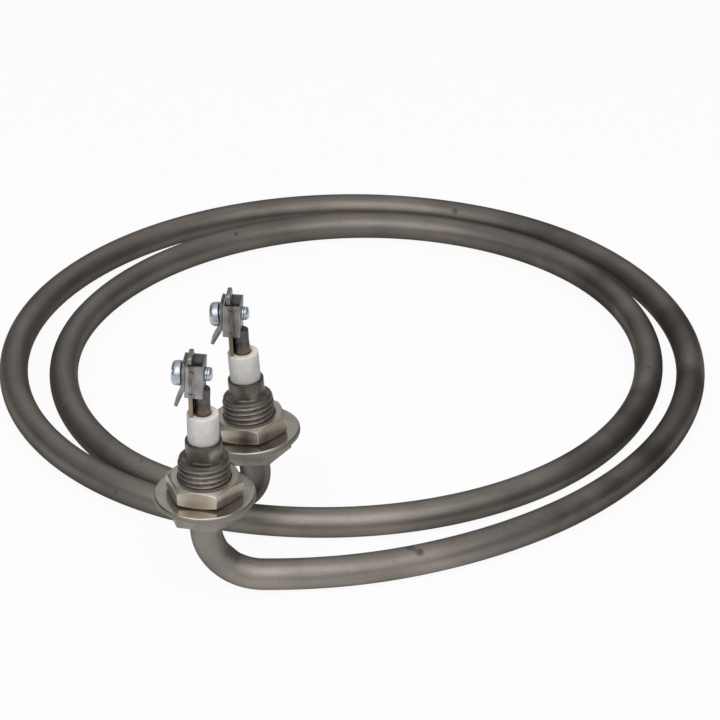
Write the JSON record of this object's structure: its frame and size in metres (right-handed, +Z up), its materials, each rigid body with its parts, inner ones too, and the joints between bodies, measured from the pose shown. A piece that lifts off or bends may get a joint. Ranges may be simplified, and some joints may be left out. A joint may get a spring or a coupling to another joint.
{
  "type": "tubular heating element",
  "caption": "Flat coiled tubular heating element with threaded end fittings, washers, nuts, ceramic bushes and screw terminals.",
  "frame": {"origin": "middle of the part's footprint, on the plane that the coil's underside lies in", "axes": "+Z up out of the coil's plane, along the terminals; +Y from the terminals towards the coil's far side; +X to the right of both"},
  "size_m": [0.2124, 0.2328, 0.0725],
  "materials": {
    "sheath": "dull satin, annealed grey-brown",
    "fitting": "dark oiled steel",
    "washer": "polished",
    "nut": "nickel plated, warm",
    "ceramic": "matt white steatite",
    "seal": "matt sealing compound",
    "magnesia": "pressed powder",
    "pin": "dark annealed steel",
    "tab": "satin, heat tinted low down",
    "cage": "satin sheet",
    "plate": "satin sheet",
    "screw": "bright zinc plate"
  },
  "bodies": {
    "root": {"sheath_tube": "sheath", "front_fitting": "fitting", "rear_fitting": "fitting", "front_washer": "washer", "rear_washer": "washer", "front_nut": "nut", "rear_nut": "nut", "front_ceramic_bush": "ceramic", "rear_ceramic_bush": "ceramic", "front_end_seal": "seal", "rear_end_seal": "seal", "front_magnesia_plug": "magnesia", "rear_magnesia_plug": "magnesia", "front_terminal_pin": "pin", "rear_terminal_pin": "pin", "front_tab": "tab", "rear_tab": "tab", "front_cage": "cage", "rear_cage": "cage", "front_clamp_plate": "plate", "rear_clamp_plate": "plate", "front_clamp_screw": "screw", "rear_clamp_screw": "screw"}
  },
  "joints": []
}
